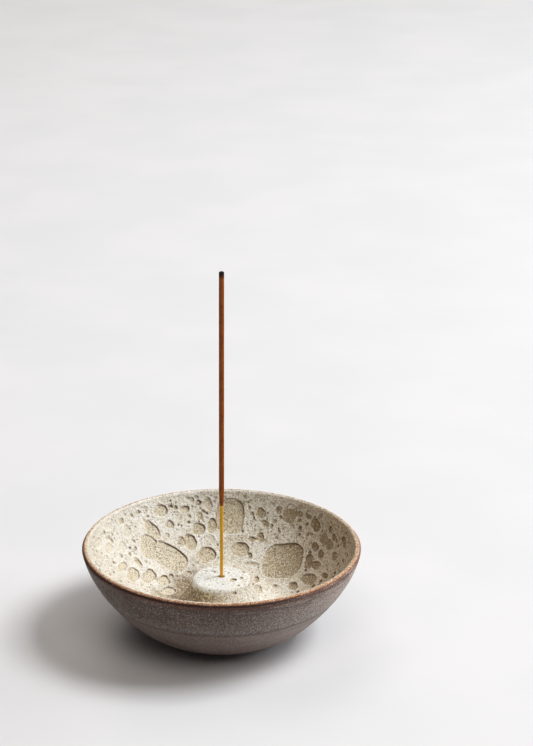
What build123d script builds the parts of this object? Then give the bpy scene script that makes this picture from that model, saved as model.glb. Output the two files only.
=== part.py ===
"""Stoneware incense bowl with a stick standing in it.

A shallow thrown bowl stands on a low trimmed foot. A clay cone rises from the middle of its floor
and holds one stick of incense in a drilled socket. Four coats of glaze are fired onto the clay: a
thick cratered one over the inner wall, the same one over the cone, a speckled one over the upper
outside and a thin wash below it. The lip and the foot are left as bare clay. The stick is a bamboo
splint with a coat of incense paste, burnt at its tip, and it lifts out of the socket.

Units are millimetres. The origin is the centre of the circle that the foot stands on, with +Z up.
"""
from build123d import *
import os
from math import cos, radians, sin

# Bowl
rim_radius = 65.0
bowl_height = 43.5
lip_width = 2.05
lip_height = 1.4
foot_radius = 25.4
foot_lift = 0.9
foot_flare = 2.1
foot_recess_radius = 20.0
foot_recess_depth = 1.6
foot_bevel = 1.2
floor_height = 6.1

# Coats of glaze
outer_coat = 0.45
wash_coat = 0.3
dip_line_height = 23.5
wall_coat_at_lip = 0.5
floor_coat = 1.3
seam_radius = 24.5

# Holder cone
cone_top = 25.3
cone_foot_radius = 21.0
cone_foot_edge = 0.9
crown_fall = 0.7
cone_coat = 1.2
socket_radius = 1.05
socket_depth = 9.0

# Stick of incense
stick_length = 160.0
splint_radius = 0.72
paste_radius = 1.17
paste_end_radius = 0.82
bare_length = 46.3
paste_taper = 7.3
char_length = 1.4
edge_break = 0.2

socket_floor = cone_top - socket_depth
tip_height = socket_floor + stick_length
char_start = tip_height - char_length
paste_start = socket_floor + bare_length
lip_start = bowl_height - lip_height


def wall_curve(foot, run, lip, rise, slope):
    """Control points of a wall that starts level at its foot and ends at a slope, in degrees, at its lip."""
    tangent = (rise * cos(radians(slope)), rise * sin(radians(slope)))
    return [foot, (foot[0] + run, foot[1]), (lip[0] - tangent[0], lip[1] - tangent[1]), lip]


def cone_curves(top, crown_radius, neck, neck_fall, foot, foot_run):
    """Control points of a cone's shoulder and of its flank, which flares out to its foot.

    The crown falls from top, on the axis, to the shoulder's start at crown_radius. The shoulder
    turns down to neck, and the flank leaves neck steeply, leaning outwards, and ends level at foot.
    """
    crown_edge = (crown_radius, top - crown_fall)
    turn = 0.75 * (neck[0] - crown_radius)
    steep = (0.45 * neck_fall, -neck_fall)
    shoulder = [
        crown_edge,
        (crown_edge[0] + turn, crown_edge[1]),
        (neck[0] - 0.1 * turn, neck[1] + turn),
        neck,
    ]
    flank = [neck, (neck[0] + steep[0], neck[1] + steep[1]), (foot[0] - foot_run, foot[1]), foot]
    return shoulder, flank


# The wall's four faces, from the outside in: outer glaze, clay, clay, inner glaze
lip_out = (rim_radius - outer_coat, lip_start)
lip_in = (lip_out[0] - lip_width, lip_start)
lip_middle = (lip_out[0] - lip_width / 2, lip_start)
wall_foot = (foot_radius + foot_flare, foot_lift)
outer_face = wall_curve(wall_foot, 12.0, (rim_radius, lip_start), 17.5, 78.8)
outer_clay_face = wall_curve((wall_foot[0], foot_lift + wash_coat), 12.0, lip_out, 17.5, 78.8)
inner_clay_face = wall_curve((seam_radius, floor_height), 14.3, lip_in, 14.7, 81.8)
inner_face = wall_curve(
    (seam_radius, floor_height + floor_coat),
    14.0,
    (lip_in[0] - wall_coat_at_lip, lip_start - 0.3),
    14.1,
    76.8,
)

# The cone's two faces: clay and glaze
clay_shoulder, clay_flank = cone_curves(
    cone_top, 10.9, (12.5, 22.9), 6.5, (cone_foot_radius, floor_height + cone_foot_edge), 4.0
)
glaze_shoulder, glaze_flank = cone_curves(
    cone_top + cone_coat, 11.8, (13.7, 23.7), 7.0, (seam_radius, floor_height + floor_coat), 5.0
)


# Stoneware bowl: the thrown clay body, bare at its lip and its foot
with BuildPart() as stoneware_bowl:
    with BuildSketch(Plane.XZ):
        with BuildLine():
            Polyline(
                (0, floor_height),
                (0, foot_recess_depth),
                (foot_recess_radius - foot_bevel, foot_recess_depth),
                (foot_recess_radius, 0),
                (foot_radius, 0),
                outer_clay_face[0],
            )
            Bezier(*outer_clay_face)
            EllipticalCenterArc(lip_middle, lip_width / 2, lip_height, start_angle=0, arc_size=180)
            Bezier(*inner_clay_face)
            Line(inner_clay_face[0], (0, floor_height))
        make_face()
    revolve(axis=Axis.Z)
stoneware_bowl.part.label = "stoneware_bowl"

# Holder cone: luted onto the floor, with the socket drilled down its axis
with BuildPart() as holder_cone:
    with BuildSketch(Plane.XZ):
        with BuildLine():
            Polyline((0, cone_top), (0, floor_height), (cone_foot_radius, floor_height), clay_flank[-1])
            Bezier(*clay_flank)
            Bezier(*clay_shoulder)
            Line(clay_shoulder[0], (0, cone_top))
        make_face()
    revolve(axis=Axis.Z)
    with Locations((0, 0, cone_top)):
        Hole(radius=socket_radius, depth=socket_depth)
holder_cone.part.label = "holder_cone"

# Wall glaze: the thick cratered coat, from the lip down to the seam on the floor
with BuildPart() as wall_glaze:
    with BuildSketch(Plane.XZ):
        with BuildLine():
            Bezier(*inner_face)
            Line(inner_face[-1], inner_clay_face[-1])
            Bezier(*inner_clay_face)
            Line(inner_clay_face[0], inner_face[0])
        make_face()
    revolve(axis=Axis.Z)
wall_glaze.part.label = "wall_glaze"

# Cone glaze: the same coat from the seam up the flank and over the crown, pierced by the socket
with BuildPart() as cone_glaze:
    with BuildSketch(Plane.XZ):
        with BuildLine():
            Polyline((0, cone_top + cone_coat), (0, cone_top), clay_shoulder[0])
            Bezier(*clay_shoulder)
            Bezier(*clay_flank)
            Polyline(
                clay_flank[-1],
                (cone_foot_radius, floor_height),
                (seam_radius, floor_height),
                glaze_flank[-1],
            )
            Bezier(*glaze_flank)
            Bezier(*glaze_shoulder)
            Line(glaze_shoulder[0], (0, cone_top + cone_coat))
        make_face()
    revolve(axis=Axis.Z)
    with Locations((0, 0, cone_top + cone_coat)):
        Hole(radius=socket_radius, depth=2 * cone_coat)
cone_glaze.part.label = "cone_glaze"


def outside_coat():
    """The whole coat on the outside of the bowl, from the foot to the lip."""
    with BuildPart() as coat:
        with BuildSketch(Plane.XZ):
            with BuildLine():
                Bezier(*outer_face)
                Line(outer_face[-1], outer_clay_face[-1])
                Bezier(*outer_clay_face)
                Line(outer_clay_face[0], outer_face[0])
            make_face()
        revolve(axis=Axis.Z)
    return coat.part


# Outer glaze: the speckled coat, from the dip line up to the lip
with BuildPart() as outer_glaze:
    add(outside_coat())
    split(bisect_by=Plane.XY.offset(dip_line_height), keep=Keep.TOP)
outer_glaze.part.label = "outer_glaze"

# Lower wash: the thin smooth coat, from the dip line down to the foot
with BuildPart() as lower_wash:
    add(outside_coat())
    split(bisect_by=Plane.XY.offset(dip_line_height), keep=Keep.BOTTOM)
lower_wash.part.label = "lower_wash"

# Bamboo splint: the stick's core, standing on the socket's floor
with BuildPart() as bamboo_splint:
    with BuildSketch(Plane.XY.offset(socket_floor)):
        Circle(splint_radius)
    extrude(amount=stick_length - char_length)
    chamfer(bamboo_splint.edges().sort_by(Axis.Z)[0], edge_break)
bamboo_splint.part.label = "bamboo_splint"

# Incense paste: a sleeve on the splint, tapering where it ends
with BuildPart() as incense_paste:
    with BuildSketch(Plane.XZ):
        with BuildLine():
            Polyline(
                (splint_radius, char_start),
                (splint_radius, paste_start),
                (paste_end_radius, paste_start + edge_break),
                (paste_radius, paste_start + paste_taper),
                (paste_radius, char_start),
                close=True,
            )
        make_face()
    revolve(axis=Axis.Z)
incense_paste.part.label = "incense_paste"

# Charred tip: the burnt end of the splint and its paste
with BuildPart() as charred_tip:
    with BuildSketch(Plane.XY.offset(char_start)):
        Circle(paste_radius)
    extrude(amount=char_length)
    fillet(charred_tip.edges().sort_by(Axis.Z)[-1], 2 * edge_break)
charred_tip.part.label = "charred_tip"

os.makedirs("parts", exist_ok=True)
for piece in (
    stoneware_bowl,
    holder_cone,
    wall_glaze,
    cone_glaze,
    outer_glaze,
    lower_wash,
    bamboo_splint,
    incense_paste,
    charred_tip,
):
    export_step(piece.part, f"parts/{piece.part.label}.step")
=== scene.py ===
"""Looks of the incense burner: a stoneware bowl with a cratered glaze, a holder cone and a stick.

Every mesh is made in millimetres, in the CAD model's frame, and scaled to metres as it is stored.
A ceramic piece is a section turned about the vertical axis. Its free face is moved along its normal
by the relief of the glaze: craters where gas broke out of it, their raised lips, and small pits.
A bearing is an angle about the axis in degrees: 0 is +X, to the right, and 90 is +Y, the back.
"""
import random
from math import cos, pi, radians, sin

import bmesh
import bpy
import numpy as np
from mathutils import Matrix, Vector, noise


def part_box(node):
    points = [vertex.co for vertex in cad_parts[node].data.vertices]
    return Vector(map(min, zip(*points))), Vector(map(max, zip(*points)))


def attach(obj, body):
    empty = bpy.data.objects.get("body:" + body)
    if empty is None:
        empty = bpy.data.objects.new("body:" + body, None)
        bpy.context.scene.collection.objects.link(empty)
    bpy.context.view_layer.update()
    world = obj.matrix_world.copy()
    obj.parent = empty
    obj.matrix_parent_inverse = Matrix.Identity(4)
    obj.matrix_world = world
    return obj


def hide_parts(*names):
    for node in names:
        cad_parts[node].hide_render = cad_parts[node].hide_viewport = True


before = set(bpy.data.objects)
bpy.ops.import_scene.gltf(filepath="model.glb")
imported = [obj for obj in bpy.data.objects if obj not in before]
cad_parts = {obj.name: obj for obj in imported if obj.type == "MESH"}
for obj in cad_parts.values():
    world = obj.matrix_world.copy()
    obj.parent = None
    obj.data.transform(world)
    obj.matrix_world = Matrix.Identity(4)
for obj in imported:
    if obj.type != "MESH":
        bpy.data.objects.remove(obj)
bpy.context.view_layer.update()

MM = 0.001
TINY = 1e-6
rng = random.Random(7)


def lowest(node):
    """Lowest corner of a CAD node, in millimetres."""
    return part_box(node)[0] / MM


def highest(node):
    """Highest corner of a CAD node, in millimetres."""
    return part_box(node)[1] / MM


# Sizes, in millimetres. A width here is measured from the axis, but for the lip's.
# Thickness of each coat
OUTER_COAT = 0.45
WASH_COAT = 0.3
WALL_COAT_AT_LIP = 0.5
FLOOR_COAT = 1.3
# Bowl
RIM = highest("outer_glaze").x
BOWL_TOP = highest("stoneware_bowl").z
LIP_WIDTH = 2.05
LIP_START = highest("outer_glaze").z
LIP_HEIGHT = BOWL_TOP - LIP_START
LIP_OUT = RIM - OUTER_COAT
LIP_IN = LIP_OUT - LIP_WIDTH
LIP_MIDDLE = LIP_OUT - LIP_WIDTH / 2
FLOOR = lowest("wall_glaze").z
DIP_LINE = highest("lower_wash").z
FOOT_LIFT = lowest("lower_wash").z
FOOT = 25.4
WALL_FOOT = 27.5
FOOT_RECESS = 20.0
FOOT_RECESS_DEPTH = 1.6
FOOT_BEVEL = 1.2
# Cone
SEAM = highest("cone_glaze").x  # where the coats of the cone and the wall meet
CONE_TOP = highest("cone_glaze").z
CONE_CLAY_TOP = highest("holder_cone").z
CLAY_FOOT = 21.0
CROWN = 11.8
CROWN_FALL = 0.7  # from the axis to the crown's edge
SHOULDER = (13.7, 23.7)
SOCKET = 1.05
# Stick
SOCKET_FLOOR = lowest("bamboo_splint").z
STICK_TIP = highest("charred_tip").z
CHAR_START = lowest("charred_tip").z
PASTE_START = lowest("incense_paste").z
SPLINT = highest("bamboo_splint").x
PASTE = highest("incense_paste").x
PASTE_END = 0.82
PASTE_TAPER = 7.3

COLUMNS = 896  # points round the rim; inner rings have a half, a quarter and so on
SPLINT_COLUMNS = 40
PASTE_COLUMNS = 56
CURVE_POINTS = 160
SHARP = radians(78)  # edges that turn more than this are shaded as sharp
TUCK = 0.1  # how far a coat's edge goes into the clay under it


# ------------------------------------------------------------------------------ sections

def bezier(start, leave, arrive, end):
    """Points of a cubic curve, as (distance from the axis, height)."""
    t = np.linspace(0, 1, CURVE_POINTS)[:, None]
    a, b, c, d = (np.array(p, float) for p in (start, leave, arrive, end))
    return (1 - t) ** 3 * a + 3 * (1 - t) ** 2 * t * b + 3 * (1 - t) * t**2 * c + t**3 * d


def wall_curve(foot, run, lip, rise, slope):
    """A wall that starts level at its foot and ends at a slope, in degrees, at its lip."""
    arrive = (lip[0] - rise * cos(radians(slope)), lip[1] - rise * sin(radians(slope)))
    return bezier(foot, (foot[0] + run, foot[1]), arrive, lip)


class Section:
    """A line in the plane of (distance from the axis, height), measured along its length."""

    def __init__(self, points, side):
        keep = np.concatenate([[True], np.hypot(*np.diff(points, axis=0).T) > TINY])
        self.points = points[keep]
        steps = np.hypot(*np.diff(self.points, axis=0).T)
        self.along = np.concatenate([[0], np.cumsum(steps)])
        tangent = np.gradient(self.points, self.along, axis=0)
        tangent /= np.linalg.norm(tangent, axis=1)[:, None]
        self.normals = side * np.column_stack([-tangent[:, 1], tangent[:, 0]])
        self.length = self.along[-1]

    def at(self, reach):
        """Distance from the axis, height, and the free side's normal, at distances along the line."""
        columns = np.column_stack([self.points, self.normals])
        return [np.interp(reach, self.along, column) for column in columns.T]

    def reach_of_height(self, height):
        """Distance along the line where it has risen to a height."""
        return np.interp(height, self.points[:, 1], self.along)


crown_edge = (CROWN, CONE_TOP - CROWN_FALL)
seam = (SEAM, FLOOR + FLOOR_COAT)
cone_line = np.concatenate([
    np.linspace((0, CONE_TOP), crown_edge, 60),
    bezier(crown_edge, (13.2, crown_edge[1]), (13.6, 25.1), SHOULDER),
    bezier(SHOULDER, (16.85, 16.7), (SEAM - 5, seam[1]), seam),
])
wall_line = wall_curve(seam, 14.0, (LIP_IN - WALL_COAT_AT_LIP, LIP_START - 0.3), 14.1, 76.8)
inside = Section(np.concatenate([cone_line, wall_line]), side=1)
seam_reach = Section(cone_line, side=1).length
outside = Section(wall_curve((WALL_FOOT, FOOT_LIFT), 12.0, (RIM, LIP_START), 17.5, 78.8), side=-1)
inner_clay = Section(wall_curve((SEAM, FLOOR), 14.3, (LIP_IN, LIP_START), 14.7, 81.8), side=1)
outer_clay = Section(
    wall_curve((WALL_FOOT, FOOT_LIFT + WASH_COAT), 12.0, (LIP_OUT, LIP_START), 17.5, 78.8), side=-1
)


# ------------------------------------------------------------------------------ noise

def noise_at(points, size, shift=0.0):
    """Smooth noise from about -1 to 1 at each point, with features about as large as size."""
    return np.array([noise.noise(p) for p in (points / size + shift).tolist()])


def smooth(values, low, high):
    """0 below low, 1 above high, and an even turn between them."""
    t = np.clip((values - low) / (high - low), 0, 1)
    return t * t * (3 - 2 * t)


def bearings(count):
    """The bearing of each point of a ring, in radians."""
    return np.arange(count) * 2 * pi / count


def round_the_axis(bearing, size, shift):
    """Noise that varies with the bearing alone, with features about as long as size at the rim."""
    ring = RIM * np.column_stack([np.cos(bearing), np.sin(bearing), np.zeros(len(bearing))])
    return noise_at(ring, size, shift)


# ------------------------------------------------------------------------------ craters

# Each crater: bearing, reach from the seam (negative on the cone), half its length and half its
# width, the turn of its length from the level, its depth, and how square it is where it isn't an
# ellipse. Degrees and millimetres.
CRATERS = [
    # left wall
    (133, 32.5, 6.6, 4.9, -70, 0.75),
    (124, 25.0, 10.2, 6.5, 50, 0.85, 2.6),
    (127, 40.0, 5.5, 3.0, 65, 0.7),
    (121, 35.0, 2.3, 2.0, -20, 0.4),
    (117, 40.5, 2.2, 2.0, -15, 0.6),
    (120, 48.0, 4.0, 3.2, 10, 0.6),
    (128, 50.5, 2.2, 1.8, -70, 0.35),
    (132, 50.5, 1.5, 1.2, 15, 0.5),
    (108, 47.0, 2.6, 2.0, 5, 0.7),
    (104, 51.0, 1.5, 1.3, 90, 0.6),
    (101, 49.0, 1.5, 1.3, 90, 0.7),
    (102, 36.0, 3.4, 3.2, -65, 0.8),
    (95, 37.5, 4.0, 2.3, -85, 0.7),
    (100, 22.5, 4.7, 4.2, -25, 0.95),
    (113, 31.0, 2.6, 2.1, -65, 0.6),
    (108, 30.0, 4.4, 3.0, 85, 0.8),
    (146, 28.0, 3.3, 1.7, 85, 0.6),
    (159, 31.0, 4.0, 2.2, 5, 0.45),
    (157, 24.5, 5.0, 3.4, -10, 0.5),
    (146, 19.5, 5.3, 3.6, -5, 0.7),
    (138, 14.0, 4.0, 2.8, 0, 0.8),
    (130, 14.5, 1.9, 1.3, -45, 0.8),
    (116, 14.0, 2.1, 1.5, 5, 0.4),
    (143, 8.0, 4.2, 2.4, 20, 0.5),
    (142, 44.0, 3.5, 2.6, -35, 0.3),
    (143, 49.5, 1.8, 1.5, 0, 0.5),
    (153, 51.0, 3.3, 1.6, 15, 0.25),
    (166, 48.0, 4.0, 2.2, 0, 0.25),
    (160, 42.0, 3.9, 2.3, 0, 0.3),
    (150, 38.5, 3.8, 2.5, -15, 0.3),
    (142, 34.5, 1.7, 0.9, -45, 0.6),
    (171, 38.0, 3.9, 1.7, 5, 0.25),
    (97, 30.0, 3.6, 3.0, -80, 0.3),
    (101, 42.5, 2.0, 1.8, 0, 0.5),
    (99, 44.5, 1.3, 1.2, 0, 0.5),
    (97, 50.0, 2.3, 1.7, 0, 0.4),
    (96, 47.5, 2.4, 1.9, 90, 0.4),
    (106, 52.0, 1.3, 1.0, 30, 0.4),
    # back wall and right wall
    (86, 42.0, 8.9, 7.1, 88, 0.9, 2.6),
    (49, 24.0, 10.8, 9.6, -20, 1.0, 2.9),
    (71, 44.5, 2.8, 2.1, -85, 0.8),
    (68, 40.0, 2.1, 1.9, 20, 0.8),
    (75, 44.0, 1.1, 1.0, 0, 0.7),
    (73, 31.5, 1.9, 1.5, 5, 0.6),
    (68.5, 32.8, 2.5, 2.2, 65, 0.8),
    (71, 31.8, 2.8, 0.8, 0, 0.5),
    (79, 25.5, 4.6, 3.7, 0, 0.9),
    (72, 23.0, 1.7, 1.3, 70, 0.9),
    (56, 47.5, 4.7, 3.8, -85, 0.7),
    (62, 48.0, 2.0, 1.9, 60, 0.7),
    (51, 48.5, 1.8, 1.7, 15, 0.7),
    (50, 45.5, 1.5, 1.0, -10, 0.6),
    (52, 52.0, 2.4, 1.2, -20, 0.4),
    (46, 49.5, 2.4, 2.0, 60, 0.6),
    (40, 46.5, 3.6, 2.8, 45, 0.8),
    (39, 51.5, 2.2, 1.4, -65, 0.4),
    (30, 48.0, 1.7, 1.4, 15, 0.7),
    (31, 42.5, 3.4, 2.4, 25, 0.45),
    (26, 42.0, 3.8, 2.4, 15, 0.45),
    (15, 48.0, 3.7, 1.7, 20, 0.6),
    (11, 51.0, 2.7, 0.9, 25, 0.4),
    (34, 37.0, 3.0, 2.1, 10, 0.8),
    (32, 29.5, 3.9, 2.7, 45, 0.8),
    (25, 30.0, 3.7, 2.2, 0, 0.7),
    (27, 35.5, 2.9, 1.9, 5, 0.6),
    (16, 39.5, 3.3, 1.8, 0, 0.5),
    (21, 23.0, 6.0, 3.0, -15, 0.5),
    (11, 30.0, 3.6, 1.5, -15, 0.6),
    (28, 15.0, 3.4, 2.1, 0, 0.7),
    (42, 10.5, 1.7, 1.0, -15, 0.5),
    (25, 46.0, 2.3, 1.4, 30, 0.6),
    (63, 42.0, 1.4, 1.2, 15, 0.5),
    (69, 18.5, 3.9, 1.3, 0, 0.4),
    (61, 10.5, 2.0, 1.3, 55, 0.6),
    (54, 5.0, 3.2, 2.2, 40, 0.4),
    # cone
    (-36, -29.0, 2.1, 1.5, 20, 0.6),
    (-5, -26.0, 1.2, 0.9, 0, 0.5),
    (124, -29.0, 1.3, 1.0, -60, 0.4),
    (30, -23.5, 1.2, 0.9, 0, 0.5),
    (-49, -24.0, 1.2, 0.8, 0, 0.4),
    (-64, -20.0, 1.2, 0.8, 0, 0.5),
    (-153, -17.0, 0.7, 0.6, 0, 0.8),
]

ROUNDNESS = 2.2  # the power of a crater's outline: 2 is an ellipse, more is squarer
STAIN_AND_SHADE_SIDE = np.array([0.62, 0.72, 0.3])  # the side of a crater's wall that is painted darkest: brown staining with painted shade, as if lit from the upper right and the back
COAT_REACHES = (-35, 0, 25, 42, 53)
COAT_DEPTHS = (1.1, 1.2, 1.05, 0.85, 0.45)  # the deepest that a crater goes at each of those reaches
POOL = 2.4  # how thick the glaze has run together against the left foot of the cone
POOL_BEARING = 190
POOL_SPREAD = 42


def spot(bearing, reach):
    """A point on the glaze's free face, and its directions round the axis and up the face."""
    r, z, normal_r, normal_z = (float(v) for v in inside.at(seam_reach + reach))
    out = np.array([cos(radians(bearing)), sin(radians(bearing)), 0])
    up = np.array([0, 0, 1.0])
    around = np.array([-out[1], out[0], 0])
    return r * out + z * up, around, normal_z * out - normal_r * up


def scatter(taken, count, bearing_range, reach_range, size_range, depth_range, gap=0.8):
    """Adds craters at random where they keep a gap, as a share of their size, from the others."""
    middles = [spot(c[0], c[1])[0] for c in taken]
    sizes = [c[2] for c in taken]
    placed = 0
    for _ in range(40 * count):
        bearing = rng.uniform(*bearing_range)
        reach = rng.uniform(*reach_range)
        size = size_range[0] + (size_range[1] - size_range[0]) * rng.random() ** 2.5
        middle = spot(bearing, reach)[0]
        near = np.linalg.norm(np.array(middles) - middle, axis=1) < gap * (np.array(sizes) + size)
        if near.any() or rng.random() > np.hypot(middle[0], middle[1]) / RIM:
            continue
        depth = rng.uniform(*depth_range) * min(1, 0.6 + 0.3 * size)
        taken.append((bearing, reach, size, size * rng.uniform(0.6, 1), rng.uniform(-90, 90), depth))
        middles.append(middle)
        sizes.append(size)
        placed += 1
        if placed == count:
            break


def all_craters():
    """The listed craters, more on the front wall, and small ones all round.

    Each call of scatter says how many, and in which range of bearings, of reaches, of sizes and of
    depths. The order of the calls is the order of the random draws.
    """
    craters = list(CRATERS)
    scatter(craters, 9, (-175, -5), (12, 44), (5.0, 10.0), (0.8, 1.0), gap=1.0)
    scatter(craters, 34, (-178, 5), (4, 50), (2.0, 5.0), (0.5, 0.9), gap=0.95)
    scatter(craters, 90, (-180, 20), (2, 52), (0.8, 2.2), (0.4, 0.8))
    scatter(craters, 180, (15, 115), (34, 52.5), (0.4, 1.4), (0.4, 0.8))
    scatter(craters, 18, (140, 184), (20, 51), (0.9, 1.8), (0.35, 0.6), gap=1.0)
    scatter(craters, 110, (112, 180), (30, 52.5), (0.4, 1.2), (0.3, 0.65))
    scatter(craters, 70, (-8, 45), (22, 52), (0.5, 1.8), (0.5, 0.8))
    scatter(craters, 50, (0, 180), (2, 36), (0.45, 1.1), (0.3, 0.7))
    scatter(craters, 26, (-180, 180), (-33, -4), (0.4, 1.0), (0.3, 0.6))
    return craters


craters = all_craters()


def crater_at(crater, points, reach, moved):
    """The points near a crater, and how much each one is sunk in it and is its floor, its lip, its browned
    wall with painted shade, or its middle.

    A point is moved by noise before it is measured, so that the outline is uneven. Along and across
    are shares of half the crater's length and half its width. Their ratio is 1 at its edge, and
    inward is the distance inside that edge, in millimetres.
    """
    bearing, far, length, width, turn, depth, *square = crater
    middle, around, up = spot(bearing, far)
    near = np.flatnonzero(np.abs(reach - far) < length + 4)
    away = points[near] - middle
    close = (away * away).sum(1) < (length + 3) ** 2
    near, away = near[close], away[close]
    away = away + (0.5 if square else min(1.0, width / 2.2)) * moved[near]

    along = away @ (cos(radians(turn)) * around + sin(radians(turn)) * up)
    across = away @ (cos(radians(turn)) * up - sin(radians(turn)) * around)
    along, across = np.abs(along) / length + TINY, np.abs(across) / width + TINY
    power = square[0] if square else ROUNDNESS
    ratio = (along**power + across**power) ** (1 / power)
    slope = power - 1
    fall = np.hypot((along / ratio) ** slope / length, (across / ratio) ** slope / width)
    inward = np.clip((1 - ratio) / fall, -4, width)

    wall = smooth(inward, -0.12, min(0.36, 0.5 * width))
    dish = smooth(inward, -0.2, 0.9 * width)
    sunk = depth * (0.74 * wall + 0.26 * dish)
    floor = smooth(inward, -0.1, 0.3) * min(1, 0.1 + 1.3 * depth)
    lip = np.exp(-(((inward + 0.42) / 0.34) ** 2)) * min(1, width / 1.5)
    # Painted shade: a crater wall's brown band is made darkest on the side that faces away from a light at
    # the upper right back.
    side = away @ STAIN_AND_SHADE_SIDE / (np.linalg.norm(away, axis=1) + TINY)
    stain_and_shade = np.exp(-(((inward - 0.22) / 0.34) ** 2)) * min(1, 0.1 + 1.4 * depth)
    stain_and_shade = stain_and_shade * np.clip(0.15 + 1.1 * side, 0, 1)
    return near, np.array([sunk, floor, lip, stain_and_shade, smooth(inward, 0.6, 1.3)])


def relief(points, reach):
    """Lift of the glaze's free face at each point, and how much it is a crater's floor, lip, or browned
    wall with painted shade.
    """
    bend = np.column_stack([noise_at(points, 3.8, shift) for shift in (0.0, 31.7, 57.3)])
    ripple = np.column_stack([noise_at(points, 1.4, shift) for shift in (11.1, 42.9, 73.5)])
    moved = 0.85 * bend + 0.13 * ripple
    most = np.zeros((5, len(points)))
    for crater in craters:
        near, found = crater_at(crater, points, reach, moved)
        most[:, near] = np.maximum(most[:, near], found)
    sunk, floor, lip, stain_and_shade, middle = most
    stain_and_shade = stain_and_shade * (1 - middle)
    lip = lip * (1 - smooth(floor, 0.1, 0.6))

    swell = 0.14 * noise_at(points, 9.0, 5.5) + 0.07 * noise_at(points, 3.0, 8.8)
    grain = 0.05 * noise_at(points, 1.1, 3.1)
    rough = floor * (0.1 * noise_at(points, 1.6, 13.7) + 0.08 * noise_at(points, 0.9, 17.9))
    bearing = np.degrees(np.arctan2(points[:, 1], points[:, 0])) % 360
    pool = POOL * np.exp(-(((bearing - POOL_BEARING) / POOL_SPREAD) ** 2))
    pool = pool * smooth(reach, -17, -8) * smooth(reach, 9, 0)
    coat = np.interp(reach, COAT_REACHES, COAT_DEPTHS)
    lift = pool + np.maximum(swell + grain + 0.2 * lip - sunk + rough, -coat)
    return lift * smooth(seam_reach + reach, 1.0, 2.5), {"floor": floor, "lip": lip, "stain_and_shade": stain_and_shade}


# ------------------------------------------------------------------------------ meshes

def turned(section, bearing, reach, lift=0.0):
    """Points on a section turned about the axis, moved along its free side's normal."""
    r, z, normal_r, normal_z = section.at(reach)
    distance = r + lift * normal_r
    return np.column_stack([distance * np.cos(bearing), distance * np.sin(bearing), z + lift * normal_z])


def ring_count(distance):
    """The number of points of a ring near the axis, where rings need fewer."""
    return COLUMNS // (2 if distance > 12.4 else 4 if distance > 6 else 8 if distance > 3 else 16)


def ring(distance, height, count):
    """A ring of points, whose distance from the axis and height may vary round it."""
    angle = bearings(count)
    level = np.zeros(count) + height
    return np.column_stack([distance * np.cos(angle), distance * np.sin(angle), level])


def on_lip(angle, coat, count):
    """A ring on the lip, at an angle round its section, in radians, with a coat over the clay."""
    distance = LIP_MIDDLE + (LIP_WIDTH / 2 + coat) * np.cos(angle)
    return ring(distance, LIP_START + (LIP_HEIGHT + coat) * np.sin(angle), count)


def bridge(a, count_a, b, count_b):
    """Faces between two rings. One may have twice as many points as the other."""
    if count_a == count_b:
        return [(a + j, a + (j + 1) % count_a, b + (j + 1) % count_a, b + j) for j in range(count_a)]
    if count_a < count_b:
        return [face[::-1] for face in bridge(b, count_b, a, count_a)]
    faces = []
    for j in range(count_b):
        first, middle, last = a + 2 * j, a + 2 * j + 1, a + (2 * j + 2) % count_a
        start, end = b + j, b + (j + 1) % count_b
        faces += [(first, middle, start), (middle, end, start), (middle, last, end)]
    return faces


def store(name, points, faces, marks):
    """A mesh object from points in millimetres, with a named value at each point for its material."""
    mesh = bpy.data.meshes.new(name)
    mesh.from_pydata((points * MM).tolist(), [], faces)
    for mark, values in marks.items():
        layer = mesh.attributes.new(mark, "FLOAT", "POINT")
        layer.data.foreach_set("value", np.asarray(values, np.float32))
    work = bmesh.new()
    work.from_mesh(mesh)
    bmesh.ops.recalc_face_normals(work, faces=work.faces)
    work.to_mesh(mesh)
    work.free()
    mesh.polygons.foreach_set("use_smooth", [True] * len(mesh.polygons))
    mesh.set_sharp_from_angle(angle=SHARP)
    piece = bpy.data.objects.new(name, mesh)
    bpy.context.scene.collection.objects.link(piece)
    return piece


def shell(name, rings, marks=None, closed=True):
    """A piece from rings in order round its section. An open section is capped at both its ends."""
    counts = [len(r) for r in rings]
    starts = np.concatenate([[0], np.cumsum(counts)]).tolist()
    faces = []
    for k in range(len(rings) - 1):
        faces += bridge(starts[k], counts[k], starts[k + 1], counts[k + 1])
    if closed:
        faces += bridge(starts[len(rings) - 1], counts[-1], starts[0], counts[0])
    else:
        faces.append(tuple(range(counts[0])))
        faces.append(tuple(range(starts[len(rings) - 1], starts[len(rings)])))
    full = {}
    for mark, values in (marks or {}).items():
        full[mark] = np.concatenate([values, np.zeros(starts[-1] - len(values))])
    return store(name, np.concatenate(rings), faces, full)


def dress(piece, material, body, node):
    """Gives a piece its material and its body, and hides the CAD node that it stands for."""
    piece.data.materials.append(material)
    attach(piece, body)
    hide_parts(node)


def glazed_rings(reaches, counts):
    """Rings of the cratered glaze's free face, with the marks for its material."""
    bearing = np.concatenate([bearings(count) for count in counts])
    reach = np.repeat(reaches, counts)
    flat = turned(inside, bearing, seam_reach + reach)
    lift, marks = relief(flat, reach)
    points = turned(inside, bearing, seam_reach + reach, lift)
    return np.split(points, np.cumsum(counts)[:-1]), marks


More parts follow.
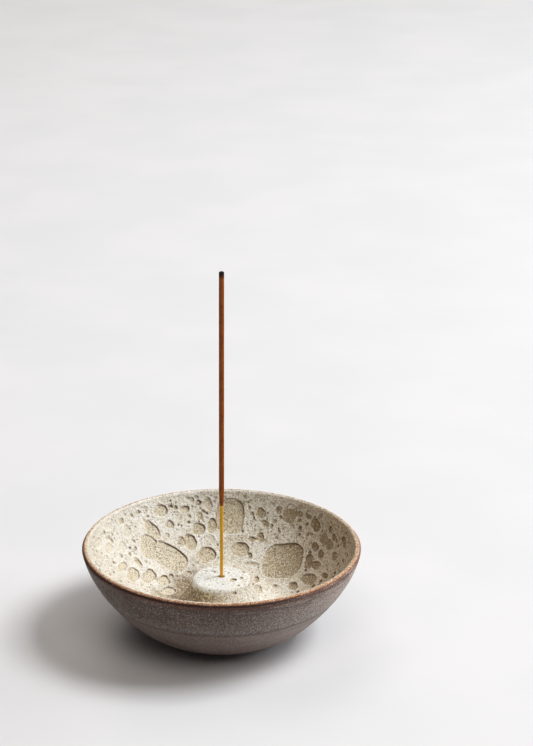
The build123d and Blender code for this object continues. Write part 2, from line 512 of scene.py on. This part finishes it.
def make_wall_glaze(material):
    """The cratered coat from the seam to the lip, where it ends in a bead on the clay."""
    top = inside.length - seam_reach
    reaches = np.linspace(0, top, 122)
    counts = [COLUMNS // 2 if reach < 0.42 * top else COLUMNS for reach in reaches]
    rings, marks = glazed_rings(reaches, counts)
    end = radians(118) + radians(9) * round_the_axis(bearings(COLUMNS), 7, 2.2)
    end += radians(5) * round_the_axis(bearings(COLUMNS), 1.6, 9.1)
    for part in (0.0, 0.3, 0.55, 0.75, 0.9, 1.0):
        angle = pi + (end - pi) * part
        rings.append(on_lip(angle, WALL_COAT_AT_LIP * (1 - part**2) ** 0.5, COLUMNS))
    rings.append(on_lip(end + 0.4, -TUCK, COLUMNS))
    for reach in np.linspace(inner_clay.length, 0, 12):
        rings.append(turned(inner_clay, bearings(COLUMNS // 2), np.full(COLUMNS // 2, reach)))
    piece = shell("wall_glaze_cratered", rings, marks)
    dress(piece, material, "bowl", "wall_glaze")


def make_cone_glaze(material):
    """The cratered coat from the seam to the crown, where the socket goes through it."""
    reaches = np.linspace(0, SOCKET + 0.25 - seam_reach, 104)
    from_axis = inside.at(seam_reach + reaches)[0]
    counts = [ring_count(distance) for distance in from_axis]
    rings, marks = glazed_rings(reaches, counts)
    mouth = COLUMNS // 16
    top = rings[-1][:, 2]
    rings.append(ring(SOCKET + 0.16, top - 0.05, mouth))
    rings.append(ring(SOCKET + 0.04, top - 0.2, mouth))
    rings.append(ring(SOCKET, top - 0.45, mouth))
    rings.append(ring(SOCKET, CONE_CLAY_TOP, mouth))
    rings.append(ring(6.0, CONE_CLAY_TOP - 0.3, COLUMNS // 8))
    rings.append(ring(10.9, CONE_CLAY_TOP - 0.7, COLUMNS // 4))
    under = [(12.4, 23.2), (14.5, 17.7), (16.3, 12.5), (18.4, 8.6), (CLAY_FOOT, FLOOR + 0.9)]
    for distance, height in under:
        rings.append(ring(distance, height, COLUMNS // 4))
    rings.append(ring(CLAY_FOOT, FLOOR, COLUMNS // 2))
    rings.append(ring(SEAM, FLOOR, COLUMNS // 2))
    piece = shell("cone_glaze_cratered", rings, marks)
    dress(piece, material, "bowl", "cone_glaze")


def dip_height(count):
    """The height of the wavy line where the speckled glaze ends, round the bowl."""
    angle = bearings(count)
    slow = 0.7 * round_the_axis(angle, 34, 4.4)
    return DIP_LINE + slow + 0.25 * round_the_axis(angle, 6, 6.6) + 0.1 * round_the_axis(angle, 1.8, 1.2)


def make_outer_glaze(material):
    """The speckled coat, from a rolled edge at the dip line to a thin edge under the lip."""
    angle = bearings(COLUMNS)
    start = outside.reach_of_height(dip_height(COLUMNS))
    rings, above, below = [], [], []
    whole = 27  # the coat's length from the dip line to the lip, about
    on_the_lip = 20.0  # the lip is marked as far enough from the dip line to be clear of it
    for step in np.concatenate([[0, 0.08, 0.18, 0.32, 0.5, 0.75, 1.05], np.linspace(1.4, whole, 54)]):
        reach = start + (outside.length - start) * step / whole
        flat = turned(outside, angle, reach)
        roll = 0.2 * smooth(reach - start, -0.1, 0.7) - 0.12
        lift = roll + 0.03 * noise_at(flat, 1.6, 2.9) + 0.07 * noise_at(flat, 7.0, 6.1)
        lift *= 1 - 0.6 * (step / whole) ** 6
        rings.append(turned(outside, angle, reach, lift))
        above.append(reach - start)
        below.append(outside.length - reach)
    end = radians(20) + radians(9) * round_the_axis(angle, 5, 3.3)
    end += radians(8) * round_the_axis(angle, 1.5, 7.7)
    for part in (0.35, 0.6, 0.8, 0.93, 1.0):
        rings.append(on_lip(end * part, OUTER_COAT * (1 - part**2) ** 0.5 * 0.85, COLUMNS))
        above.append(np.full(COLUMNS, on_the_lip))
        below.append(-end * part)
    marks = {"from_dip": np.concatenate(above), "from_lip": np.concatenate(below)}
    rings.append(on_lip(end - 0.3, -TUCK, COLUMNS))
    clay_start = outer_clay.reach_of_height(dip_height(COLUMNS))
    for part in np.linspace(1, 0, 8):
        rings.append(turned(outer_clay, angle, clay_start + (outer_clay.length - clay_start) * part))
    piece = shell("outer_glaze_speckled", rings, marks)
    dress(piece, material, "bowl", "outer_glaze")


def make_lower_wash(material):
    """The thin coat from the dip line down to the foot, over faint throwing rings."""
    rings, above = [], []
    for part in np.linspace(0, 1, 84):
        count = COLUMNS if part < 0.55 else COLUMNS // 2
        angle = bearings(count)
        start = outside.reach_of_height(dip_height(count)) + 0.5
        reach = start * (1 - part)
        flat = turned(outside, angle, reach)
        tool = noise_at(flat * np.array([0.03, 0.03, 1.0]), 1.7, 5.1)
        lift = 0.05 * tool + 0.02 * noise_at(flat, 2.0, 1.4) + 0.05 * noise_at(flat, 12.0, 9.9) - 0.06
        rings.append(turned(outside, angle, reach, lift))
        above.append(start - reach)
    marks = {"from_dip": np.concatenate(above)}
    for part in np.linspace(0, 1, 10):
        count = COLUMNS // 2
        clay_start = outer_clay.reach_of_height(dip_height(count))
        rings.append(turned(outer_clay, bearings(count), clay_start * part))
    piece = shell("lower_wash_smooth", rings, marks)
    dress(piece, material, "bowl", "lower_wash")


def make_bowl(material):
    """The clay: hidden under the glazes but for its lip and its trimmed foot."""
    half = COLUMNS // 2
    rings = [ring(r, FLOOR, count) for r, count in ((2, 28), (8, 56), (14, 112), (20, 224))]
    for reach in np.linspace(0, inner_clay.length - 0.2, 14):
        rings.append(turned(inner_clay, bearings(half), np.full(half, reach)))
    for angle in np.linspace(pi, 0, 26):
        flat = on_lip(angle, 0, COLUMNS)
        wear = 0.03 * noise_at(flat, 1.1, 4.0) + 0.05 * noise_at(flat, 6.0, 8.0)
        rings.append(on_lip(angle, wear - 0.04 + 0.12 * max(0, cos(angle)), COLUMNS))
    for reach in np.linspace(outer_clay.length - 0.2, 0, 14):
        rings.append(turned(outer_clay, bearings(half), np.full(half, reach)))
    foot = [
        (FOOT + 0.9, 0.45), (FOOT + 0.25, 0.12), (FOOT - 0.2, 0.0),
        (24.0, 0.0), (22.5, 0.0), (21.0, 0.0),
        (FOOT_RECESS + 0.2, 0.0), (FOOT_RECESS - 0.15, 0.12), (19.4, 0.9),
        (FOOT_RECESS - FOOT_BEVEL, 1.45), (18.3, FOOT_RECESS_DEPTH),
    ]
    for distance, height in foot:
        rings.append(ring(distance, height, half))
    for distance in np.linspace(17.5, 1.0, 34):
        tool = 0.08 * sin(distance * 4.2) + 0.06 * sin(distance * 1.7)
        rings.append(ring(distance, FOOT_RECESS_DEPTH + tool, ring_count(distance)))
    piece = shell("stoneware_bowl_clay", rings, closed=False)
    dress(piece, material, "bowl", "stoneware_bowl")


def make_splint(material):
    """The bamboo core: a squarish split rod with its fibres standing out along it."""
    count = SPLINT_COLUMNS
    angle = bearings(count)
    rings = []
    edge = [(0.0, 0.8), (0.12, 0.95), (0.3, 1.0)]
    heights = [(SOCKET_FLOOR + rise, share) for rise, share in edge]
    heights += [(z, 1.0) for z in np.arange(SOCKET_FLOOR + 0.8, PASTE_START + 1.5, 0.5)]
    heights += [(z, 0.97) for z in np.linspace(PASTE_START + 2.5, CHAR_START, 24)]
    for z, share in heights:
        round_points = np.column_stack([np.cos(angle), np.sin(angle), np.full(count, z / 14)])
        fibre = 0.05 * noise_at(round_points, 0.28, 3.3) + 0.03 * noise_at(round_points, 0.9, 6.2)
        square = 0.035 * np.cos(4 * angle + 0.6)
        lean = 0.02 * noise.noise((0, 0, z / 9))
        rings.append(ring(SPLINT * share * (1.02 + square + fibre) + lean * np.cos(angle), z, count))
    piece = shell("bamboo_splint_fibres", rings, closed=False)
    dress(piece, material, "stick", "bamboo_splint")


def make_paste(material):
    """The incense paste: rolled on by hand, a little lumpy, and tapered where it ends."""
    count = PASTE_COLUMNS
    rings = [ring(0.9 * SPLINT, PASTE_START + 0.3, count)]
    start = PASTE_START + np.array([0.0, 0.12, 0.3, 0.5, 0.7])
    for z in np.concatenate([start, np.arange(PASTE_START + 0.95, CHAR_START, 0.3)]):
        taper = min(1, (z - PASTE_START) / PASTE_TAPER) ** 0.8
        rounded = 0.09 * max(0, 1 - (z - PASTE_START) / 0.3) ** 2
        radius = PASTE_END + (PASTE - PASTE_END) * taper - rounded
        flat = ring(radius, z, count)
        stretched = flat * np.array([1, 1, 0.3])
        lump = 0.022 * noise_at(flat, 0.55, 1.1) + 0.018 * noise_at(stretched, 1.8, 7.4)
        rings.append(ring(radius * (1.03 + lump), z, count))
    rings.append(ring(PASTE, CHAR_START, count))
    rings.append(ring(0.9 * SPLINT, CHAR_START - 0.1, count))
    piece = shell("incense_paste_rolled", rings)
    dress(piece, material, "stick", "incense_paste")


def make_tip(material):
    """The burnt end: a crumbling cap of char, a little narrower than the paste."""
    count = PASTE_COLUMNS
    tall = STICK_TIP - CHAR_START
    rings = []
    for share in np.linspace(0, 1, 16):
        z = CHAR_START + tall * share
        radius = PASTE * (1.02 - 0.04 * share) * (1 - max(0, (share - 0.72) / 0.28) ** 2 * 0.35)
        flat = ring(radius, z, count)
        lump = 0.05 * noise_at(flat, 0.45, 2.0) * (0.3 + share)
        rings.append(ring(radius * (1 + lump), z, count))
    for part in (0.5, 0.3, 0.12):
        flat = ring(PASTE * part, STICK_TIP, count)
        rings.append(ring(PASTE * part, STICK_TIP - 0.04 + 0.06 * noise_at(flat, 0.5, 3.0), count))
    piece = shell("charred_tip_cap", rings, closed=False)
    dress(piece, material, "stick", "charred_tip")


# ------------------------------------------------------------------------------ materials

def colour(red, green, blue):
    """A linear colour from sRGB values of 0 to 255."""
    shares = [v / 255 for v in (red, green, blue)]
    return tuple(v / 12.92 if v < 0.04045 else ((v + 0.055) / 1.055) ** 2.4 for v in shares) + (1,)


class Look:
    """A material, with short calls for its nodes. Sizes in them are millimetres."""

    def __init__(self, name, roughness, specular):
        self.material = bpy.data.materials.new(name)
        self.material.use_nodes = True
        self.tree = self.material.node_tree
        self.shader = self.tree.nodes["Principled BSDF"]
        self.shader.inputs["Roughness"].default_value = roughness
        self.shader.inputs["Specular IOR Level"].default_value = specular
        self.place = self.node("ShaderNodeTexCoord").outputs["Object"]
        self.place = self.stretched(1 / MM, 1 / MM, 1 / MM)

    def node(self, kind, inputs=None, **settings):
        """A new node with its settings, and its inputs as sockets to link or values to set."""
        made = self.tree.nodes.new(kind)
        for name, value in settings.items():
            setattr(made, name, value)
        for name, value in (inputs or {}).items():
            if isinstance(value, bpy.types.NodeSocket):
                self.tree.links.new(value, made.inputs[name])
            else:
                made.inputs[name].default_value = value
        return made

    def vector_maths(self, operation, a, b=(0, 0, 0)):
        """A node of arithmetic on two vectors."""
        return self.node("ShaderNodeVectorMath", {0: a, 1: b}, operation=operation)

    def stretched(self, x, y, z):
        """The place, multiplied along each axis."""
        return self.vector_maths("MULTIPLY", self.place, (x, y, z)).outputs[0]

    def along(self, axis):
        """The place along X, Y or Z."""
        return self.node("ShaderNodeSeparateXYZ", {0: self.place}).outputs[axis]

    def from_axis(self):
        """The distance from the vertical axis."""
        return self.vector_maths("LENGTH", self.stretched(1, 1, 0)).outputs["Value"]

    def noise(self, size, detail=2.0, rough=0.5, place=None, shift=0.0):
        """Noise from 0 to 1 with features about as large as size."""
        moved = self.vector_maths("ADD", place or self.place, (shift, shift, shift)).outputs[0]
        inputs = {"Vector": moved, "Scale": 1 / size, "Detail": detail, "Roughness": rough}
        return self.node("ShaderNodeTexNoise", inputs).outputs["Fac"]

    def cells(self, size):
        """Distance from the middle of the nearest of scattered cells, as a share of size."""
        inputs = {"Vector": self.place, "Scale": 1 / size}
        return self.node("ShaderNodeTexVoronoi", inputs).outputs["Distance"]

    def mark(self, name):
        """A value stored at the mesh's points."""
        return self.node("ShaderNodeAttribute", attribute_name=name).outputs["Fac"]

    def maths(self, operation, a, b=0.0):
        """Arithmetic on two values, or on one."""
        return self.node("ShaderNodeMath", {0: a, 1: b}, operation=operation).outputs[0]

    def plus(self, a, b):
        """The sum of two values."""
        return self.maths("ADD", a, b)

    def times(self, a, b):
        """The product of two values."""
        return self.maths("MULTIPLY", a, b)

    def turn(self, value, low, high, out_low=0.0, out_high=1.0):
        """A value spread smoothly from one range to another and held at its ends."""
        inputs = {"Value": value, 1: low, 2: high, 3: out_low, 4: out_high}
        return self.node("ShaderNodeMapRange", inputs, interpolation_type="SMOOTHSTEP").outputs[0]

    def mix(self, share, a, b):
        """A mix of two colours."""
        return self.node("ShaderNodeMix", {0: share, 6: a, 7: b}, data_type="RGBA").outputs[2]

    def tint(self, base, tone, share, most):
        """A colour mixed with a tone by a share, scaled so that it is at most the last number."""
        return self.mix(self.times(share, most), base, tone)

    def dapple(self, base, tone, size, low, high, most=1.0, **grain):
        """A colour with patches of a tone, where noise of a size rises from low to high."""
        return self.mix(self.turn(self.noise(size, **grain), low, high, 0, most), base, tone)

    def finish(self, base, height, roughness=None):
        """Links the colour, the fine relief in millimetres and a roughness that varies."""
        self.tree.links.new(base, self.shader.inputs["Base Color"])
        bump = self.node("ShaderNodeBump", {"Height": height, "Distance": MM, "Strength": 1.0})
        self.tree.links.new(bump.outputs[0], self.shader.inputs["Normal"])
        if roughness:
            self.tree.links.new(roughness, self.shader.inputs["Roughness"])
        return self.material


def cratered_glaze():
    """A dry cream glaze: pale and powdery where it stands, tan and speckled in its craters.

    It is yellower on its far left and paler at the back left. It is browner and darker on its right, with
    dark grit there, as painted shade of the wall that faces away from the key light; its crater floors are
    painted lighter on the lit left. Its crater walls are browned, darkest as painted shade on their side
    away from the light, and its crater lips carry a painted highlight.
    """
    look = Look("Cratered cream glaze", roughness=0.75, specular=0.25)
    floor, lip, stain_and_shade = look.mark("floor"), look.mark("lip"), look.mark("stain_and_shade")
    x = look.along("X")
    left = look.turn(x, -30, -52)
    right = look.turn(x, 20, 60)
    behind = look.times(look.turn(x, 8, -12), look.turn(look.along("Y"), 5, 30))

    cream = look.dapple(colour(240, 235, 224), colour(228, 219, 200), 11, 0.35, 0.65)
    cream = look.dapple(cream, colour(204, 190, 163), 2.6, 0.5, 0.66, 0.75, detail=3, shift=4.0)
    specks = look.mix(look.turn(x, 8, -28), colour(160, 142, 112), colour(186, 171, 142))
    cream = look.dapple(cream, specks, 0.8, 0.53, 0.66, 0.75, shift=8.0)
    cream = look.dapple(cream, colour(253, 252, 248), 0.9, 0.52, 0.64, 0.9, shift=19.0)
    cream = look.tint(cream, colour(202, 192, 174), left, 0.5)
    cream = look.tint(cream, colour(254, 252, 246), behind, 0.25)
    cream = cone_tones(look, cream)
    # Painted shade: the right wall, which faces away from the key light, is painted browner and given dark
    # grit.
    cream = look.tint(cream, colour(190, 169, 139), right, 0.75)
    grit = look.turn(look.noise(1.0, 3, 0.65, shift=12.0), 0.49, 0.6)
    cream = look.tint(cream, colour(112, 88, 62), look.times(grit, right), 0.6)

    tan = look.dapple(colour(222, 210, 185), colour(206, 190, 159), 3.2, 0.35, 0.65)
    # Painted light and shade: crater floors are painted lighter toward the lit left and darker toward the
    # shaded right.
    tan = look.mix(look.turn(x, 0, -30, 0, 0.55), tan, colour(240, 231, 211))
    tan = look.tint(tan, colour(206, 188, 150), left, 0.6)
    tan = look.mix(look.turn(x, 15, 50, 0, 0.9), tan, colour(126, 100, 70))
    tan = look.dapple(tan, colour(134, 112, 80), 0.75, 0.5, 0.63, 0.75, rough=0.6)
    # Pale grains in the crater floors, painted lighter on the lit left and duller on the shaded right as
    # painted light and shade.
    pale_grains_lit_left = look.mix(right, colour(246, 239, 221), colour(196, 176, 144))
    tan = look.dapple(tan, pale_grains_lit_left, 0.85, 0.52, 0.65, 0.85, rough=0.6, shift=7.0)

    base = look.mix(look.turn(floor, 0.25, 0.85), cream, tan)
    # Brown crater walls, partly real staining and partly painted shade where the walls face away from the
    # light; less on the far left.
    stained_and_shaded = look.times(look.turn(stain_and_shade, 0.15, 0.8), look.turn(x, -62, -20, 0.55, 0.95))
    base = look.mix(stained_and_shaded, base, colour(100, 72, 42))
    # Painted highlight: crater lips are painted near white as if catching the light, more on the left than
    # on the right.
    raised = look.times(look.turn(lip, 0.3, 0.9), look.turn(x, 0, 50, 0.5, 0.15))
    base = look.mix(raised, base, colour(248, 245, 237))

    crowd = look.turn(look.noise(8, 1, shift=30.0), 0.36, 0.56)
    small = look.turn(look.cells(1.2), 0.26, 0.12)
    large = look.turn(look.cells(2.7), 0.18, 0.1)
    pit = look.times(look.maths("MAXIMUM", small, large), crowd)
    base = look.tint(base, look.mix(left, colour(100, 76, 48), colour(176, 156, 122)), pit, 0.7)

    powder = look.times(look.noise(1.0, 3, 0.6), 0.6)
    grain = look.times(look.noise(0.4, 2, 0.6), 0.2)
    rough_floor = look.times(look.times(look.noise(0.8, 2, 0.6, shift=7.0), floor), 0.4)
    height = look.plus(look.plus(powder, grain), rough_floor)
    height = look.maths("SUBTRACT", height, look.times(pit, 0.45))
    return look.finish(base, height)


def cone_tones(look, cream):
    """The cone's colours over the cream of the glaze, which they leave alone on the wall.

    Its crown is white and powdery. Its flank and the floor beside it are streaked with brown, most on the
    left, partly real and partly painted shade of the side away from the key light, and painted pale on the
    right as a painted highlight of the lit side. The socket's mouth is darkened as painted shade.
    """
    x, y, z = look.along("X"), look.along("Y"), look.along("Z")
    far = look.from_axis()
    wander = look.times(look.maths("SUBTRACT", look.noise(4, 3, shift=2.0), 0.5), 4.0)
    low = look.turn(look.plus(z, wander), 24.6, 22.6)
    right = look.plus(look.plus(x, look.times(look.maths("ABSOLUTE", y), 0.35)), wander)
    reach = look.maths("SUBTRACT", far, look.times(y, 0.25))
    near = look.turn(look.plus(reach, look.times(wander, 2.5)), 35.0, 25.0)

    outward = look.vector_maths("NORMALIZE", look.stretched(1, 1, 0)).outputs[0]
    drips = look.noise(0.07, 3, 0.6, place=outward)
    grains = look.noise(0.9, 3, 0.6)
    streak = look.plus(look.times(drips, 0.3), look.times(grains, 0.7))

    white = look.dapple(colour(247, 248, 245), colour(214, 210, 198), 0.7, 0.4, 0.65, detail=3, rough=0.7)
    crown = look.times(look.turn(far, 15.5, 13.0), look.maths("SUBTRACT", 1.0, low))
    cream = look.tint(cream, white, crown, 0.85)
    # Painted highlight: the right of the flank and the floor beside it, which the key light reaches, is
    # painted pale.
    lit_side_highlight = look.mix(look.turn(streak, 0.42, 0.6), colour(255, 252, 244), colour(216, 202, 174))
    cream = look.tint(cream, lit_side_highlight, look.times(look.turn(right, 6.0, 16.0), near), 0.9)
    # Brown streaks, partly real and partly painted shade: they darken toward the left, the side away from
    # the key light.
    stain_and_shade = look.plus(streak, look.turn(x, -3.0, -14.0, 0, 0.04))
    brown = look.mix(look.turn(stain_and_shade, 0.42, 0.57), colour(206, 186, 148), colour(104, 80, 46))
    streaks_and_shade = look.times(look.times(low, look.turn(right, 12.0, -2.0)), near)
    cream = look.tint(cream, brown, streaks_and_shade, 0.85)
    # Painted shade: the socket's mouth is darkened brown where the stick goes into it.
    return look.tint(cream, colour(140, 108, 70), look.turn(far, 2.3, 1.2), 0.75)


def speckled_glaze():
    """A dark satin glaze with pale grey specks, greyer near the dip line, and painted lighter on the right
    as painted light of its lit side.

    Under the lip it is streaked and toasted, and edged with a dark line that is partly an iron-rich edge
    and partly painted shade under the lip's overhang.
    """
    look = Look("Speckled brown glaze", roughness=0.5, specular=0.4)
    from_dip, from_lip, x = look.mark("from_dip"), look.mark("from_lip"), look.along("X")
    right = look.turn(x, 0, 60)
    base = look.dapple(colour(80, 60, 48), colour(94, 74, 62), 9, 0.35, 0.65)
    # Painted light: the glaze, its pale specks and its dark flecks are painted lighter toward the lit right
    # side.
    base = look.tint(base, colour(176, 158, 146), right, 0.85)
    wander = look.times(look.noise(5, 3), 14)
    low = look.turn(look.plus(from_dip, wander), 19, 7)
    base = look.tint(base, colour(136, 129, 126), low, 0.6)
    specks = look.mix(right, colour(158, 147, 139), colour(222, 213, 204))
    base = look.dapple(base, specks, 0.68, 0.5, 0.61, 0.75, detail=3, rough=0.7)
    shades = look.mix(right, colour(50, 35, 28), colour(104, 82, 72))
    base = look.dapple(base, shades, 0.7, 0.49, 0.59, 0.9, detail=3, rough=0.7, shift=5.0)

    streak = look.noise(1.5, 3, place=look.stretched(0.1, 0.1, 1), shift=3.0)
    streak = look.times(look.turn(streak, 0.4, 0.6), look.turn(from_lip, 9.0, 0.5))
    base = look.tint(base, colour(58, 41, 33), streak, 0.75)
    toasted = look.times(look.turn(from_lip, 3.5, 0.3), look.turn(look.noise(1.2, 3), 0.35, 0.55))
    base = look.tint(base, colour(112, 68, 52), toasted, 0.6)
    # The dark line under the lip: partly an iron-rich edge, partly painted shade under the lip's overhang.
    line = look.turn(look.plus(from_lip, look.times(look.noise(1.5, 2), 0.8)), 0.9, 0.5)
    line = look.times(line, look.turn(look.noise(2, 2, shift=6.0), 0.28, 0.42, 0.3, 0.9))
    line = look.times(line, look.turn(x, 52, 20))
    base = look.mix(line, base, colour(42, 19, 12))
    edge = look.turn(look.plus(from_dip, look.times(look.noise(3, 3), 2.2)), 3.4, 1.6)
    base = look.tint(base, colour(70, 44, 38), edge, 0.8)

    height = look.times(look.noise(0.8, 3, 0.6), 0.2)
    worn = look.turn(look.noise(1.2, 2), 0.3, 0.7, 0.42, 0.62)
    roughness = look.maths("MAXIMUM", worn, look.turn(from_lip, 3.0, 1.0, 0, 0.8))
    return look.finish(base, height, roughness)


def smooth_wash():
    """A thin mauve-brown wash, finer than the glaze above it, over faint throwing rings."""
    look = Look("Mauve brown wash", roughness=0.62, specular=0.35)
    base = look.dapple(colour(112, 97, 90), colour(124, 109, 102), 10, 0.3, 0.7)
    # Painted light: the wash is painted lighter toward the lit right side.
    base = look.mix(look.turn(look.along("X"), 0, 50, 0, 0.75), base, colour(168, 154, 146))
    level = look.stretched(0.05, 0.05, 1)
    base = look.dapple(base, colour(98, 80, 73), 1.3, 0.4, 0.7, 0.45, place=level)
    base = look.dapple(base, colour(156, 142, 134), 0.6, 0.5, 0.66, 0.75, rough=0.6)
    base = look.dapple(base, colour(84, 66, 58), 0.6, 0.52, 0.68, 0.7, rough=0.6, shift=5.0)
    near_dip = look.turn(look.mark("from_dip"), 2.2, 0.4, 0, 0.5)
    base = look.mix(near_dip, base, colour(92, 68, 60))
    return look.finish(base, look.times(look.noise(0.6, 3, 0.6), 0.08))


def bare_clay():
    """Toasted stoneware: sandy on the inner half of the lip, burnt on its outer half, pale at the back."""
    look = Look("Toasted stoneware", roughness=0.8, specular=0.25)
    far = look.from_axis()
    wander = look.times(look.maths("SUBTRACT", look.noise(1.6, 3, 0.6), 0.5), 1.6)
    front = look.turn(look.along("Y"), 5, 45, 1, 0.15)
    outer = look.turn(look.plus(far, wander), LIP_MIDDLE - 0.9, LIP_MIDDLE + 0.9)
    sandy = look.mix(front, colour(206, 194, 172), colour(236, 212, 182))
    base = look.mix(look.times(outer, front), sandy, colour(184, 130, 92))
    base = look.dapple(base, colour(140, 92, 64), 1.0, 0.48, 0.62, 0.75, detail=3, rough=0.6)
    base = look.dapple(base, colour(86, 54, 38), 0.6, 0.55, 0.64, 0.8)
    base = look.dapple(base, colour(240, 222, 196), 0.6, 0.54, 0.66, 0.85, shift=9.0)
    edge = look.turn(far, LIP_OUT - 0.25, LIP_OUT)
    base = look.tint(base, colour(84, 48, 32), edge, 0.8)
    return look.finish(base, look.times(look.noise(0.5, 3, 0.6), 0.16))


def bamboo():
    """Split bamboo dyed yellow, with long darker fibres."""
    look = Look("Yellow bamboo", roughness=0.55, specular=0.4)
    fibre = look.noise(0.16, 3, 0.6, place=look.stretched(1, 1, 0.02))
    base = look.mix(look.turn(fibre, 0.35, 0.65), colour(242, 184, 0), colour(216, 150, 0))
    base = look.dapple(base, colour(214, 160, 4), 3, 0.4, 0.7, 0.5)
    base = look.dapple(base, colour(140, 88, 8), 0.3, 0.6, 0.72, 0.6, shift=4.0)
    return look.finish(base, look.times(fibre, 0.12))


def incense():
    """Brown incense paste: fine sawdust and powder in a matt binder, darker near the burnt end."""
    look = Look("Incense paste", roughness=0.85, specular=0.2)
    base = look.dapple(colour(150, 78, 26), colour(134, 64, 18), 4, 0.35, 0.65)
    base = look.dapple(base, colour(94, 44, 12), 0.3, 0.5, 0.66, 0.7, rough=0.6)
    base = look.dapple(base, colour(184, 120, 62), 0.28, 0.54, 0.68, 0.7, rough=0.6, shift=6.0)
    burnt = look.turn(look.along("Z"), CHAR_START - 2.2, CHAR_START + 0.1)
    base = look.mix(burnt, base, colour(64, 34, 26))
    return look.finish(base, look.times(look.noise(0.3, 3, 0.6), 0.09))


def char():
    """Burnt paste: near black, with a little grey ash and a dull red-brown edge."""
    look = Look("Charred paste", roughness=0.9, specular=0.15)
    base = look.dapple(colour(26, 20, 19), colour(46, 38, 36), 0.5, 0.4, 0.65)
    base = look.dapple(base, colour(96, 90, 88), 0.3, 0.58, 0.7, 0.6, shift=3.0)
    low = look.turn(look.along("Z"), CHAR_START + 0.35, CHAR_START)
    base = look.mix(low, base, colour(60, 32, 25))
    return look.finish(base, look.times(look.noise(0.35, 3, 0.6), 0.12))


def pale_floor():
    """A seamless sheet of off-white paper."""
    look = Look("Off-white paper", roughness=0.9, specular=0.1)
    base = look.dapple(colour(220, 220, 221), colour(224, 223, 224), 90, 0.3, 0.7)
    return look.finish(base, look.times(look.noise(1.5, 2), 0.02))


# ------------------------------------------------------------------------------ the object

glaze = cratered_glaze()
make_wall_glaze(glaze)
make_cone_glaze(glaze)
make_outer_glaze(speckled_glaze())
make_lower_wash(smooth_wash())
clay = bare_clay()
make_bowl(clay)
make_splint(bamboo())
make_paste(incense())
make_tip(char())

holder = bpy.data.objects["holder_cone"]
holder.data.materials.clear()
holder.data.materials.append(clay)


# ------------------------------------------------------------------------------ floor, lights, camera

FLOOR_HALF = 9000  # millimetres
floor_corners = np.array([(-1, -1, 0), (1, -1, 0), (1, 1, 0), (-1, 1, 0)]) * FLOOR_HALF
floor = store("paper_floor", floor_corners, [(0, 1, 2, 3)], {})
floor.data.materials.append(pale_floor())


LIGHT_DISTANCE = 3.0  # metres


def area_light(name, bearing, elevation, width, height, watts, tint):
    """A soft light that faces the bowl from a bearing and an elevation, in degrees."""
    data = bpy.data.lights.new(name, "AREA")
    data.shape = "RECTANGLE"
    data.size, data.size_y = width, height
    data.energy = watts
    data.color = tint
    light = bpy.data.objects.new(name, data)
    bpy.context.scene.collection.objects.link(light)
    turn, rise = radians(bearing), radians(elevation)
    place = Vector((cos(rise) * cos(turn), cos(rise) * sin(turn), sin(rise)))
    light.location = place * LIGHT_DISTANCE
    light.rotation_euler = place.to_track_quat("Z", "Y").to_euler()


COOL = (0.95, 0.975, 1.0)
WARM = (1.0, 0.93, 0.86)
area_light("Key window", 4, 54.5, 1.35, 1.1, 77, COOL)
area_light("Low window", 24, 17, 2.4, 0.7, 43, COOL)
area_light("Back reflector", 98, 45, 1.6, 1.6, 14, WARM)
area_light("Left reflector", 142, 64, 2.0, 1.6, 12, WARM)
area_light("Front reflector", -88, 60, 2.0, 1.6, 20, WARM)

world = bpy.data.worlds.new("Studio")
bpy.context.scene.world = world
world.use_nodes = True
background = world.node_tree.nodes["Background"]
background.inputs["Color"].default_value = (1.0, 0.99, 0.98, 1)
background.inputs["Strength"].default_value = 0.06

camera_data = bpy.data.cameras.new("Camera")
camera_data.lens = 107.7
camera_data.sensor_width = 36
camera_data.shift_x = 0.0597
camera_data.clip_start = 0.01
camera = bpy.data.objects.new("Camera", camera_data)
bpy.context.scene.collection.objects.link(camera)
bpy.context.scene.camera = camera
CAMERA_SIDE = 0.0002
camera.location = (CAMERA_SIDE, -0.949, 0.480)
aim = Vector((CAMERA_SIDE, 0, 0.1281))
camera.rotation_euler = (aim - camera.location).to_track_quat("-Z", "Y").to_euler()
bpy.context.scene.view_settings.view_transform = "Standard"
